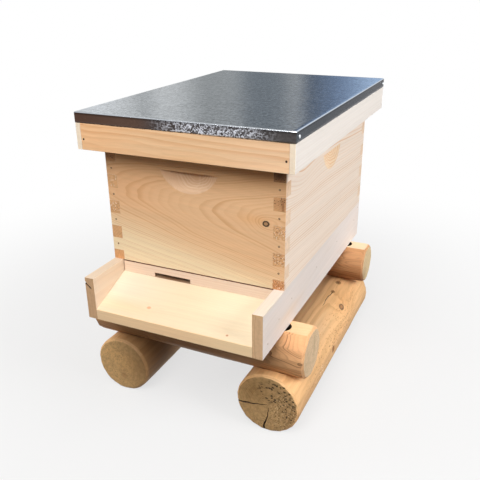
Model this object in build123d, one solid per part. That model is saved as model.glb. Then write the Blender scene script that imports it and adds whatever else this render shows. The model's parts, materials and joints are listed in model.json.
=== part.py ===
from build123d import *
import os
from math import acos, atan2, cos, degrees, hypot, tan

# Eight-frame beehive on a stand of round logs. Sizes are in millimetres.
# X runs to the right, Y to the rear and Z up from the ground. The pieces are laid out about the
# middle of the brood box, and the finished hive is then moved so that the origin is the middle
# of its footprint.

# Brood box
box_width = 349.25
box_length = 504.8
box_height = 244.5
box_board = 22.0
bottom_finger = 19.0
finger_height = 24.8
handhold_width = 117.0
handhold_height = 39.5
handhold_depth = 11.5
handhold_drop = 55.5
end_handhold_shift = -4.5

# Frames
frame_count = 8
frame_gap = 0.8
frame_side_space = 9.8
frame_end_space = 6.4
frame_top_space = 6.4
frame_bottom_space = 6.1
rabbet_width = 12.5
lug_end_gap = 1.6
lug_thickness = 9.5
lug_width = 22.0
top_bar_width = 27.0
top_bar_thickness = 19.0
end_bar_thickness = 9.5
end_bar_waist = 27.0
shoulder_height = 80.0
bottom_bar_width = 19.0
bottom_bar_thickness = 9.5
foundation_thickness = 4.0
foundation_end_gap = 0.5
foundation_top_gap = 0.5
top_groove = 6.0
bottom_groove = 3.0
frame_joint_gap = 0.1

# Inner cover
inner_cover_height = 23.0
inner_rim_width = 19.0
inner_panel_thickness = 6.0
inner_panel_space = 6.0
inner_panel_groove = 6.0
escape_hole_length = 89.0
escape_hole_width = 32.0

# Outer cover and its metal roof
cover_side_gap = 8.4
cover_end_gap = 18.9
cover_board = 19.0
cover_lip = 9.5
cover_skirt = 24.2
cover_nail_height = 19.0
cover_panel_thickness = 18.0
roof_thickness = 0.8
roof_flange = 18.5
roof_nail_inset = 12.0
roof_nail_length = 20.0
roof_nail_radius = 1.3
roof_nail_head_radius = 3.0
roof_nail_head_height = 1.6

# Bottom board
rail_thickness = 19.0
rail_height = 82.5
entrance_height = 24.0
floor_thickness = 19.0
floor_housing = 9.5
floor_side_gap = 0.3
tongue_length = 6.0
tongue_thickness = 6.0
tongue_gap = 0.2
landing_depth = 94.0
landing_thickness = 19.0
rear_cleat_thickness = 19.0
floor_nails_each_side = 4
floor_nail_inset = 40.0
landing_nail_inset = 22.0

# Entrance reducer
reducer_depth = 19.0
reducer_top_gap = 2.0
reducer_end_gap = 1.5
notch_length = 76.0
notch_height = 8.5
notch_offset = -48.0

# Wire nails
nail_length = 45.0
nail_radius = 1.25
nail_head_radius = 1.9
nail_head_thickness = 1.2
nail_gap = 0.05

# Log stand
log_right_radius = 61.7
log_left_radius = 59.4
log_taper = 2.4
log_length = 506.5
log_front_reach = 31.5
log_inset = 17.0
log_chamfer = 4.5
foot_flat = 2.0
front_saddle_depth = 12.7
rear_saddle_depth = 1.0
saddle_gap = 0.3
crosslog_front_radius = 49.0
crosslog_flat = 4.0
crosslog_chamfer = 3.0
crosslog_right_reach = 46.1
crosslog_left_reach = 51.0
crosslog_front_inset = 57.7
crosslog_rear_inset = 43.0

# Bolts of the stand
bolt_radius = 6.0
bolt_bite = 58.0
bolt_head_flats = 18.0
bolt_head_height = 8.0
bolt_flange_radius = 14.0
bolt_flange_thickness = 2.5
bolt_hole_gap = 0.3
bolt_right_inset = 9.6
bolt_left_inset = 32.6
bolt_front_lead = 6.0
counterbore_radius = 17.0
counterbore_depth = 25.0

# Places across and along the hive
half_width = box_width / 2
half_length = box_length / 2
inner_half_width = half_width - box_board
inner_half_length = half_length - box_board
front_face = -half_length
landing_front = front_face - landing_depth
rail_inner = half_width - rail_thickness
cover_half_width = half_width + cover_side_gap + cover_board
cover_half_length = half_length + cover_end_gap + cover_board
log_front = front_face - log_front_reach
crosslog_front_y = log_front + crosslog_front_inset
crosslog_rear_y = log_front + log_length - crosslog_rear_inset


def lowest_log_top(y):
    # Both long logs lie on the ground and grow thinner towards the rear.
    radius = min(log_right_radius, log_left_radius) - log_taper * (y - log_front) / log_length
    return 2 * radius - foot_flat


# Levels above the ground
crosslog_front_bottom = lowest_log_top(crosslog_front_y) - front_saddle_depth
crosslog_top = crosslog_front_bottom + 2 * crosslog_front_radius - crosslog_flat
crosslog_rear_bottom = lowest_log_top(crosslog_rear_y) - rear_saddle_depth
crosslog_rear_radius = (crosslog_top + crosslog_flat - crosslog_rear_bottom) / 2
rail_bottom = crosslog_top
rail_top = rail_bottom + rail_height
floor_top = rail_top - entrance_height
floor_bottom = floor_top - floor_thickness
box_bottom = rail_top
box_top = box_bottom + box_height
inner_cover_top = box_top + inner_cover_height
cover_bottom = box_top - cover_skirt
panel_top = inner_cover_top + cover_panel_thickness
roof_top = panel_top + roof_thickness


def block(x_low, x_high, y_low, y_high, z_low, z_high):
    middle = Pos((x_low + x_high) / 2, (y_low + y_high) / 2, (z_low + z_high) / 2)
    return middle * Box(x_high - x_low, y_high - y_low, z_high - z_low)


def driven(shape, point, direction):
    # A shape made along +Z from the origin, set at a point and turned along a direction.
    return Plane(origin=point, z_dir=direction).location * shape


def upright(radius, length):
    return Cylinder(radius, length, align=(Align.CENTER, Align.CENTER, Align.MIN))


def nail_along_z(gap):
    # The head's face is at Z = 0; the gap makes the same shape larger all round, for its hole.
    head = Pos(0, 0, -gap) * upright(nail_head_radius + gap, nail_head_thickness + 2 * gap)
    shank = upright(nail_radius + gap, nail_length + gap)
    return head + shank


def nails(spots):
    return [driven(nail_along_z(0), point, direction) for point, direction in spots]


def nail_holes(spots):
    return [driven(nail_along_z(nail_gap), point, direction) for point, direction in spots]


# Brood box: four boards with box-joint corners, scooped handholds and rests for the frame lugs

finger_rows = int((box_height - bottom_finger) // finger_height)
finger_levels = [box_bottom]
for row in range(finger_rows):
    finger_levels.append(box_bottom + bottom_finger + row * finger_height)
finger_levels.append(box_top)
fingers = list(zip(finger_levels[:-1], finger_levels[1:]))
side_fingers = fingers[0::2]
end_fingers = fingers[1::2]

handhold_ledge = box_top - handhold_drop
handhold_half = handhold_width / 2
handhold_radius = (handhold_half**2 + handhold_height**2) / (2 * handhold_height)
scoop_offset = (handhold_half**2 / handhold_depth - handhold_depth) / 2
scoop_radius = hypot(handhold_radius, scoop_offset)
scoop_centre = handhold_ledge - handhold_height + handhold_radius


def scoop():
    # The bowl of a handhold in a board whose outer face is the plane Y = 0, facing -Y.
    ball = Pos(0, -scoop_offset, scoop_centre) * Sphere(scoop_radius)
    below_ledge = block(
        -handhold_width, handhold_width, -box_board, box_board,
        handhold_ledge - 2 * handhold_height, handhold_ledge,
    )
    return ball & below_ledge


def box_end_nail_spots(y_face, inward):
    x_nail = half_width - box_board / 2
    return [
        ((side * x_nail, y_face, (low + high) / 2), (0, inward, 0))
        for side in (-1, 1)
        for low, high in end_fingers
    ]


box_nail_spots = box_end_nail_spots(-half_length, 1) + box_end_nail_spots(half_length, -1)


def box_end_board():
    # The front board; the rear one is the same board turned round.
    board = block(-half_width, half_width, -half_length, -inner_half_length, box_bottom, box_top)
    for low, high in side_fingers:
        board -= block(-half_width, -inner_half_width, -half_length, -inner_half_length, low, high)
        board -= block(inner_half_width, half_width, -half_length, -inner_half_length, low, high)
    lug_rest = box_top - frame_top_space - lug_thickness
    board -= block(
        -inner_half_width, inner_half_width,
        -inner_half_length - rabbet_width, -inner_half_length,
        lug_rest, box_top,
    )
    board -= Pos(end_handhold_shift, -half_length, 0) * scoop()
    return board - nail_holes(box_end_nail_spots(-half_length, 1))


def box_side_board():
    # The right board; the left one is the same board turned round.
    board = block(inner_half_width, half_width, -half_length, half_length, box_bottom, box_top)
    for low, high in end_fingers:
        board -= block(inner_half_width, half_width, -half_length, -inner_half_length, low, high)
        board -= block(inner_half_width, half_width, inner_half_length, half_length, low, high)
    board -= Pos(half_width, 0, 0) * Rot(0, 0, 90) * scoop()
    return board - nail_holes(box_nail_spots)


# Frames: top bar with lugs, two end bars, bottom bar and a sheet of foundation

frame_pitch = 2 * (inner_half_width - frame_side_space) / frame_count
shoulder_width = frame_pitch - frame_gap
frame_top = box_top - frame_top_space
frame_bottom = box_bottom + frame_bottom_space
end_bar_outer = inner_half_length - frame_end_space
end_bar_inner = end_bar_outer - end_bar_thickness
lug_tip = inner_half_length + rabbet_width - lug_end_gap
top_bar_bottom = frame_top - top_bar_thickness
bottom_bar_top = frame_bottom + bottom_bar_thickness
groove_half = foundation_thickness / 2 + frame_joint_gap


def across(half_thickness, y_half, z_low, z_high):
    return block(-half_thickness, half_thickness, -y_half, y_half, z_low, z_high)


def top_bar():
    bar = across(top_bar_width / 2, end_bar_inner, top_bar_bottom, frame_top)
    bar += across(lug_width / 2, lug_tip, frame_top - lug_thickness, frame_top)
    return bar - across(groove_half, end_bar_inner, top_bar_bottom, top_bar_bottom + top_groove)


def end_bars():
    shoulder_end = frame_top - shoulder_height
    waist_start = shoulder_end - (shoulder_width - end_bar_waist)
    outline = Polyline(
        (-shoulder_width / 2, frame_top), (shoulder_width / 2, frame_top),
        (shoulder_width / 2, shoulder_end), (end_bar_waist / 2, waist_start),
        (end_bar_waist / 2, frame_bottom), (-end_bar_waist / 2, frame_bottom),
        (-end_bar_waist / 2, waist_start), (-shoulder_width / 2, shoulder_end),
        close=True,
    )
    bar = extrude(Plane.XZ * make_face(outline), amount=end_bar_thickness / 2, both=True)
    bar -= across(lug_width / 2 + frame_joint_gap, lug_tip, frame_top - lug_thickness, frame_top)
    bar -= across(bottom_bar_width / 2 + frame_joint_gap, lug_tip, frame_bottom, bottom_bar_top)
    middle = end_bar_outer - end_bar_thickness / 2
    return [Pos(0, -middle, 0) * bar, Pos(0, middle, 0) * bar]


def bottom_bar():
    bar = across(bottom_bar_width / 2, end_bar_outer, frame_bottom, bottom_bar_top)
    return bar - across(groove_half, end_bar_inner, bottom_bar_top - bottom_groove, bottom_bar_top)


def foundation():
    low = bottom_bar_top - bottom_groove
    high = top_bar_bottom + top_groove - foundation_top_gap
    return across(foundation_thickness / 2, end_bar_inner - foundation_end_gap, low, high)


# Inner cover: a thin panel with an escape hole, held in the grooves of four rim strips

inner_panel_bottom = box_top + inner_panel_space
inner_panel_top = inner_panel_bottom + inner_panel_thickness
rim_inner_x = half_width - inner_rim_width
rim_inner_y = half_length - inner_rim_width


def inner_panel_blank():
    x_half = rim_inner_x + inner_panel_groove
    y_half = rim_inner_y + inner_panel_groove
    return block(-x_half, x_half, -y_half, y_half, inner_panel_bottom, inner_panel_top)


def inner_cover_panel():
    hole = extrude(SlotOverall(escape_hole_length, escape_hole_width, rotation=90), inner_cover_height)
    return inner_panel_blank() - Pos(0, 0, box_top) * hole


def inner_cover_rims():
    z_span = (box_top, inner_cover_top)
    strips = [
        block(-half_width, -rim_inner_x, -half_length, half_length, *z_span),
        block(rim_inner_x, half_width, -half_length, half_length, *z_span),
        block(-rim_inner_x, rim_inner_x, -half_length, -rim_inner_y, *z_span),
        block(-rim_inner_x, rim_inner_x, rim_inner_y, half_length, *z_span),
    ]
    return [strip - inner_panel_blank() for strip in strips]


# Outer cover: a skirt of four boards under a panel, with a folded metal roof over its edges

skirt_inner_x = cover_half_width - cover_board
skirt_inner_y = cover_half_length - cover_board
lip_inner_x = cover_half_width - cover_lip


def cover_end_nail_spots(y_face, inward):
    x_nail = cover_half_width - (cover_lip + cover_board) / 2
    z_nail = cover_bottom + cover_nail_height
    return [((side * x_nail, y_face, z_nail), (0, inward, 0)) for side in (-1, 1)]


cover_nail_spots = (
    cover_end_nail_spots(-cover_half_length, 1) + cover_end_nail_spots(cover_half_length, -1)
)


def cover_end_board(y_low, y_high):
    board = block(-lip_inner_x, lip_inner_x, y_low, y_high, cover_bottom, inner_cover_top)
    return board - nail_holes(cover_nail_spots)


def cover_side_board(side):
    x_low, x_high = sorted((side * skirt_inner_x, side * cover_half_width))
    board = block(
        x_low, x_high, -cover_half_length, cover_half_length, cover_bottom, inner_cover_top,
    )
    for y_low, y_high in ((-cover_half_length, -skirt_inner_y), (skirt_inner_y, cover_half_length)):
        board -= block(-lip_inner_x, lip_inner_x, y_low, y_high, cover_bottom, inner_cover_top)
    return board - nail_holes(cover_nail_spots)


def cover_panel_blank():
    return block(
        -cover_half_width, cover_half_width, -cover_half_length, cover_half_length,
        inner_cover_top, panel_top,
    )


roof_nail_y = cover_half_length - roof_nail_inset
roof_nail_z = (inner_cover_top + panel_top) / 2
roof_face = cover_half_width + roof_thickness
roof_nail_spots = [
    ((side * roof_face, end * roof_nail_y, roof_nail_z), (-side, 0, 0))
    for side in (-1, 1)
    for end in (-1, 1)
]


def roof_nail():
    head = Pos(0, 0, -roof_nail_head_height) * upright(roof_nail_head_radius, roof_nail_head_height)
    crown = head.edges().sort_by(Axis.Z)[0]
    head = fillet(crown, roof_nail_head_height / 2)
    return head + upright(roof_nail_radius, roof_nail_length)


def roof_nail_holes():
    hole = upright(roof_nail_radius + nail_gap, roof_nail_length + nail_gap)
    return [driven(hole, point, direction) for point, direction in roof_nail_spots]


def roof_sheet():
    x_half = cover_half_width + roof_thickness
    y_half = cover_half_length + roof_thickness
    folded = block(-x_half, x_half, -y_half, y_half, roof_top - roof_flange, roof_top)
    inside = block(
        -cover_half_width, cover_half_width, -cover_half_length, cover_half_length,
        roof_top - 2 * roof_flange, panel_top,
    )
    return folded - inside - roof_nail_holes()


# Bottom board: two rails that house the floor, a sloped landing board and a rear cleat

landing_fall = rail_height - entrance_height
landing_reach = hypot(landing_fall, landing_depth)
landing_slope = acos(landing_thickness / landing_reach) - atan2(landing_depth, landing_fall)
landing_edge = landing_thickness / cos(landing_slope)
landing_front_top = floor_top - landing_depth * tan(landing_slope)
floor_middle = (floor_top + floor_bottom) / 2


def rail_nail_spots(side):
    x_face = side * half_width
    direction = (-side, 0, 0)
    first = front_face + floor_nail_inset
    step = (half_length - floor_nail_inset - first) / (floor_nails_each_side - 1)
    rows = range(floor_nails_each_side)
    spots = [((x_face, first + row * step, floor_middle), direction) for row in rows]
    for y_nail in (landing_front + landing_nail_inset, front_face - landing_nail_inset):
        surface = floor_top - (front_face - y_nail) * tan(landing_slope)
        spots.append(((x_face, y_nail, surface - landing_edge / 2), direction))
    y_cleat = half_length - rear_cleat_thickness / 2
    spots.append(((x_face, y_cleat, (floor_top + rail_top) / 2), direction))
    return spots


bottom_nail_spots = rail_nail_spots(-1) + rail_nail_spots(1)
bottom_nail_holes = nail_holes(bottom_nail_spots)


def bottom_rail(side):
    x_low, x_high = sorted((side * rail_inner, side * half_width))
    rail = block(x_low, x_high, landing_front, half_length, rail_bottom, rail_top)
    housing = rail_inner + floor_housing
    rail -= block(-housing, housing, front_face, half_length, floor_bottom, floor_top)
    return rail - bottom_nail_holes


def floor_boards():
    x_half = rail_inner + floor_housing - floor_side_gap
    tongue_low = floor_middle - tongue_thickness / 2
    tongue_high = floor_middle + tongue_thickness / 2
    front = block(-x_half, x_half, front_face, 0, floor_bottom, floor_top)
    front -= block(-x_half, x_half, -tongue_length - tongue_gap, 0, tongue_low, tongue_high)
    rear = block(-x_half, x_half, 0, half_length, floor_bottom, floor_top)
    rear += block(-x_half, x_half, -tongue_length, 0, tongue_low, tongue_high)
    return front - bottom_nail_holes, rear - bottom_nail_holes


def landing_board():
    outline = Polyline(
        (landing_front, landing_front_top), (front_face, floor_top),
        (front_face, floor_top - landing_edge), (landing_front, landing_front_top - landing_edge),
        close=True,
    )
    board = extrude(Plane.YZ * make_face(outline), amount=rail_inner, both=True)
    return board - bottom_nail_holes


def rear_cleat():
    cleat = block(
        -rail_inner, rail_inner, half_length - rear_cleat_thickness, half_length, floor_top, rail_top,
    )
    return cleat - bottom_nail_holes


def entrance_reducer():
    x_half = rail_inner - reducer_end_gap
    y_back = front_face + reducer_depth
    bar = block(-x_half, x_half, front_face, y_back, floor_top, rail_top - reducer_top_gap)
    return bar - block(
        notch_offset - notch_length / 2, notch_offset + notch_length / 2,
        front_face, y_back, floor_top, floor_top + notch_height,
    )


# Log stand: two long logs on the ground, with two flattened cross logs bolted into their saddles

log_x = half_width - log_inset
crosslog_left = -half_width - crosslog_left_reach
crosslog_right = half_width + crosslog_right_reach
crosslogs = [
    (crosslog_front_y, crosslog_front_bottom, crosslog_front_radius),
    (crosslog_rear_y, crosslog_rear_bottom, crosslog_rear_radius),
]
bolt_seat = crosslog_top - counterbore_depth
bolt_length = bolt_seat - crosslog_front_bottom + bolt_bite
bolt_spots = [
    (x, y)
    for x in (-half_width + bolt_left_inset, half_width - bolt_right_inset)
    for y in (crosslog_front_y - bolt_front_lead, crosslog_rear_y)
]


def eased_ends(log, chamfer_size):
    return chamfer(log.edges().filter_by(GeomType.CIRCLE), chamfer_size)


def bolt_holes():
    hole = upright(bolt_radius + bolt_hole_gap, bolt_length + bolt_hole_gap)
    counterbore = upright(counterbore_radius, counterbore_depth + crosslog_flat)
    holes = []
    for x, y in bolt_spots:
        holes.append(Pos(x, y, bolt_seat) * Rot(180, 0, 0) * hole)
        holes.append(Pos(x, y, bolt_seat) * counterbore)
    return holes


def long_log(x, radius):
    # The taper leans the log's middle line, so that its underside is level.
    rear_radius = radius - log_taper
    round_log = Cone(radius, rear_radius, log_length, align=(Align.CENTER, Align.CENTER, Align.MIN))
    lean = degrees(atan2(log_taper, log_length))
    log = Pos(x, log_front, radius - foot_flat) * Rot(-90 - lean, 0, 0) * eased_ends(round_log, log_chamfer)
    for y, bottom, crosslog_radius in crosslogs:
        saddle = Rot(0, 90, 0) * Cylinder(crosslog_radius + saddle_gap, 4 * radius)
        log -= Pos(x, y, bottom + crosslog_radius) * saddle
    ground = block(x - radius, x + radius, -log_length, log_length, -radius, 0)
    return log - ground - bolt_holes()


def crosslog(y, bottom, radius):
    round_log = Rot(0, 90, 0) * upright(radius, crosslog_right - crosslog_left)
    log = Pos(crosslog_left, y, bottom + radius) * eased_ends(round_log, crosslog_chamfer)
    planed = block(
        crosslog_left, crosslog_right, y - radius, y + radius, crosslog_top, crosslog_top + radius,
    )
    return log - planed - bolt_holes()


def stand_bolt(x, y):
    head = extrude(RegularPolygon(bolt_head_flats / 2, 6, major_radius=False), bolt_head_height)
    flange = upright(bolt_flange_radius, bolt_flange_thickness)
    shank = Rot(180, 0, 0) * upright(bolt_radius, bolt_length)
    return Pos(x, y, bolt_seat) * (head + flange + shank)


# Assembly

front_floor, rear_floor = floor_boards()
box_front = box_end_board()
box_right = box_side_board()
half_turn = Rot(0, 0, 180)

pieces = {
    "stand_log_left": long_log(-log_x, log_left_radius),
    "stand_log_right": long_log(log_x, log_right_radius),
    "stand_crosslog_front": crosslog(*crosslogs[0]),
    "stand_crosslog_rear": crosslog(*crosslogs[1]),
    "stand_bolts": [stand_bolt(x, y) for x, y in bolt_spots],
    "bottom_rail_left": bottom_rail(-1),
    "bottom_rail_right": bottom_rail(1),
    "floor_board_front": front_floor,
    "floor_board_rear": rear_floor,
    "landing_board": landing_board(),
    "rear_cleat": rear_cleat(),
    "bottom_nails": nails(bottom_nail_spots),
    "entrance_reducer": entrance_reducer(),
    "box_front_board": box_front,
    "box_rear_board": half_turn * box_front,
    "box_left_board": half_turn * box_right,
    "box_right_board": box_right,
    "box_nails": nails(box_nail_spots),
    "inner_cover_panel": inner_cover_panel(),
    "inner_cover_rims": inner_cover_rims(),
    "cover_front_board": cover_end_board(-cover_half_length, -skirt_inner_y),
    "cover_rear_board": cover_end_board(skirt_inner_y, cover_half_length),
    "cover_left_board": cover_side_board(-1),
    "cover_right_board": cover_side_board(1),
    "cover_nails": nails(cover_nail_spots),
    "cover_panel": cover_panel_blank() - roof_nail_holes(),
    "roof_sheet": roof_sheet(),
    "roof_nails": [driven(roof_nail(), point, direction) for point, direction in roof_nail_spots],
}

for number in range(1, frame_count + 1):
    place = Pos((number - (frame_count + 1) / 2) * frame_pitch, 0, 0)
    pieces[f"frame_{number}_top_bar"] = place * top_bar()
    pieces[f"frame_{number}_end_bars"] = [place * bar for bar in end_bars()]
    pieces[f"frame_{number}_bottom_bar"] = place * bottom_bar()
    pieces[f"frame_{number}_foundation"] = place * foundation()

solids = {}
for name, piece in pieces.items():
    group = piece if isinstance(piece, list) else [piece]
    solids[name] = Compound([solid for shape in group for solid in shape.solids()])

footprint = Compound(list(solids.values())).bounding_box()
to_origin = Pos(-footprint.center().X, -footprint.center().Y, -footprint.min.Z)

os.makedirs("parts", exist_ok=True)
for name, shape in solids.items():
    export_step(to_origin * shape, f"parts/{name}.step")
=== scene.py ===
import json
import math
from dataclasses import dataclass
from functools import partialmethod

import bmesh
import bpy
from mathutils import Matrix, Vector, noise
from mathutils.geometry import delaunay_2d_cdt


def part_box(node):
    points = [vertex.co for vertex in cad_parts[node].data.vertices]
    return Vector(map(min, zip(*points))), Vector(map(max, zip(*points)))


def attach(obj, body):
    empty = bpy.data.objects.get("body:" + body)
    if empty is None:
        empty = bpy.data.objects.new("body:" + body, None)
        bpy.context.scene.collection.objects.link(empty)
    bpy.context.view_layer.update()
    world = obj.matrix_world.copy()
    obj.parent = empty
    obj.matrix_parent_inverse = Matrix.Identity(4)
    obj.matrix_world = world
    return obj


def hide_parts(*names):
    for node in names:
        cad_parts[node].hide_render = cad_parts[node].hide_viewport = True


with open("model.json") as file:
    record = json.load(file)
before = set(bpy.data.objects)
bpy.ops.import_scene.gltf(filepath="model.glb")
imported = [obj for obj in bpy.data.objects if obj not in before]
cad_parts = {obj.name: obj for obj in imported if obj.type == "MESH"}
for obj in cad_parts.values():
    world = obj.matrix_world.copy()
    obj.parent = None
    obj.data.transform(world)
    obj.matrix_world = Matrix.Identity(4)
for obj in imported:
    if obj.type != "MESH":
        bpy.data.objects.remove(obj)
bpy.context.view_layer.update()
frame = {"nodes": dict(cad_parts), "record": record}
nodes = frame["nodes"]
record = frame["record"]
body_of_node = {n: body for body, names in record["behaviour"]["bodies"].items() for n in names}

# Sizes are in millimetres unless they say otherwise. X runs to the right, Y to the rear and Z up.
MM = 0.001
PER_METRE = 1000
FULL = (1, 1, 1, 1)


def place_of(node):
    low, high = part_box(node)
    return low * PER_METRE, high * PER_METRE


def size_of(node):
    low, high = place_of(node)
    return high - low


def colour(red, green, blue):
    """A colour from its display values, 0 to 255, as the linear one that shaders take."""

    def linear(value):
        share = value / 255
        return share / 12.92 if share <= 0.04045 else ((share + 0.055) / 1.055) ** 2.4

    return (linear(red), linear(green), linear(blue), 1)


def grey(tone):
    return (tone, tone, tone, 1)


class Graph:
    """Short ways to add and join the nodes of one tree."""

    def __init__(self, tree):
        self.tree = tree

    def read_surface(self, origin):
        """Notes the point on the surface, in millimetres, its facing, and where marks are measured from."""
        coords = self.add("ShaderNodeTexCoord").outputs
        self.place = self.scaled(coords["Object"], PER_METRE)
        self.facing = self.split(coords["Normal"])
        self.origin = Vector(origin)

    def join(self, value, socket):
        if isinstance(value, bpy.types.NodeSocket):
            self.tree.links.new(value, socket)
        else:
            socket.default_value = value

    def add(self, kind, inputs=None, **settings):
        node = self.tree.nodes.new(kind)
        for key, value in settings.items():
            setattr(node, key, value)
        for key, value in (inputs or {}).items():
            self.join(value, node.inputs[key])
        return node

    def math(self, operation, a, b=0, c=0):
        return self.add("ShaderNodeMath", {0: a, 1: b, 2: c}, operation=operation).outputs[0]

    plus = partialmethod(math, "ADD")
    minus = partialmethod(math, "SUBTRACT")
    times = partialmethod(math, "MULTIPLY")
    times_plus = partialmethod(math, "MULTIPLY_ADD")

    def vector(self, operation, a, b=(0, 0, 0)):
        node = self.add("ShaderNodeVectorMath", {0: a, 1: b}, operation=operation)
        return node.outputs["Value" if operation in ("LENGTH", "DOT_PRODUCT") else "Vector"]

    def scaled(self, a, factor):
        return self.add("ShaderNodeVectorMath", {0: a, "Scale": factor}, operation="SCALE").outputs["Vector"]

    def split(self, value):
        return list(self.add("ShaderNodeSeparateXYZ", {0: value}).outputs)

    def combine(self, x, y, z):
        return self.add("ShaderNodeCombineXYZ", {0: x, 1: y, 2: z}).outputs[0]

    def step(self, value, low, high, first=0, last=1):
        inputs = {0: value, 1: low, 2: high, 3: first, 4: last}
        return self.add("ShaderNodeMapRange", inputs, interpolation_type="SMOOTHSTEP").outputs[0]

    def noise(self, place, detail=2, roughness=0.5):
        inputs = {"Vector": place, "Scale": 1, "Detail": detail, "Roughness": roughness}
        return self.add("ShaderNodeTexNoise", inputs).outputs

    def cloud(self, scale, detail=2):
        return self.noise(self.scaled(self.place, scale), detail)["Fac"]

    def cells(self, place, scale):
        return self.add("ShaderNodeTexVoronoi", {"Vector": place, "Scale": scale}).outputs

    def ramp(self, value, low, high, stops):
        share = self.math("DIVIDE", self.minus(value, low), high - low)
        node = self.add("ShaderNodeValToRGB", {0: share})
        band = node.color_ramp
        band.interpolation = "EASE"
        while len(band.elements) < len(stops):
            band.elements.new(1)
        for element, (spot, tone) in zip(band.elements, stops):
            element.position = (spot - low) / (high - low)
            element.color = tone
        return node.outputs[0]

    def mix(self, factor, a, b, blend="MIX"):
        node = self.add("ShaderNodeMix", {0: factor, 6: a, 7: b}, data_type="RGBA", blend_type=blend)
        return node.outputs[2]

    def bump(self, shader, strength, distance, height):
        node = self.add("ShaderNodeBump", {"Strength": strength, "Distance": distance, "Height": height})
        self.join(node.outputs[0], shader.inputs["Normal"])


def new_material(name, origin=(0, 0, 0)):
    material = bpy.data.materials.new(name)
    material.use_nodes = True
    graph = Graph(material.node_tree)
    graph.read_surface(origin)
    return material, graph, material.node_tree.nodes["Principled BSDF"]


# Wood: growth rings about a pith line, wandering fibres, and darker pores where the grain ends

GRAIN_ORDER = {"x": (0, 1, 2), "y": (1, 0, 2), "z": (2, 0, 1)}
STAIN_AND_PAINTED_LIGHT_STRENGTH = 0.9


def apart(g, centre, reach):
    # The way from a centre to the point, measured in reaches; a reach of None leaves that axis out.
    way = g.vector("SUBTRACT", g.place, g.origin + Vector(centre))
    return g.vector("MULTIPLY", way, tuple(0 if r is None else 1 / r for r in reach))


def swell(g, centre, reach):
    # One at the centre, and next to nothing from two reaches away.
    way = apart(g, centre, reach)
    return g.math("EXPONENT", g.times(g.vector("DOT_PRODUCT", way, way), -1))


def within(g, low, high):
    # One inside a box, and nothing outside it.
    low, high = Vector(low), Vector(high)
    way = g.vector("SUBTRACT", g.place, g.origin + (low + high) / 2)
    room = g.split(g.vector("SUBTRACT", (high - low) / 2, g.vector("ABSOLUTE", way)))
    return g.step(g.math("MINIMUM", g.math("MINIMUM", room[0], room[1]), room[2]), 0, 0.5)


def knotted(g, under, centre, radii, heart, rim, strength):
    away = g.vector("LENGTH", apart(g, centre, radii))
    away = g.minus(g.times_plus(g.cloud(0.45), 0.35, away), 0.17)
    rings = g.math("SINE", g.times(away, 17))
    body = g.mix(g.step(away, 0.4, 0.7), heart, rim)
    body = g.scaled(body, g.times_plus(rings, 0.12, 1))
    return g.mix(g.times(g.step(away, 1.12, 0.9), strength), under, body)


def ringed(g, under, where, tone, centre, reach, first, last, strength):
    # Rings round an eye, as where a scoop cuts down through the growth rings of a board.
    away = g.vector("LENGTH", apart(g, centre, reach))
    away = g.times_plus(g.cloud(0.05), 1.6, away)
    wave = g.math("SINE", g.times(away, 2 * math.pi))
    band = g.times(g.step(wave, -0.3, 0.9), g.step(away, first, first + 0.6))
    band = g.times(band, g.step(away, last, last - 3))
    return g.mix(g.times(g.times(band, where), strength), under, tone)


def speckled(g, under, centre, reach, size, tone, share, stretch=(1, 1, 1)):
    # Small marks in part of the cells of a pattern, near a centre; a stretch draws them out along an axis.
    loose = g.vector("ADD", g.place, g.scaled(g.noise(g.scaled(g.place, 0.7 / size))["Color"], size))
    cells = g.cells(g.vector("MULTIPLY", loose, tuple(1 / (size * s) for s in stretch)), 1)
    spot = g.step(cells["Distance"], 0.5, 0.25)
    picked = g.step(g.split(cells["Color"])[0], 1 - share, 1.05 - share)
    near = g.step(swell(g, centre, reach), 0.15, 0.5)
    return g.mix(g.times(g.times(spot, picked), near), under, tone)


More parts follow.
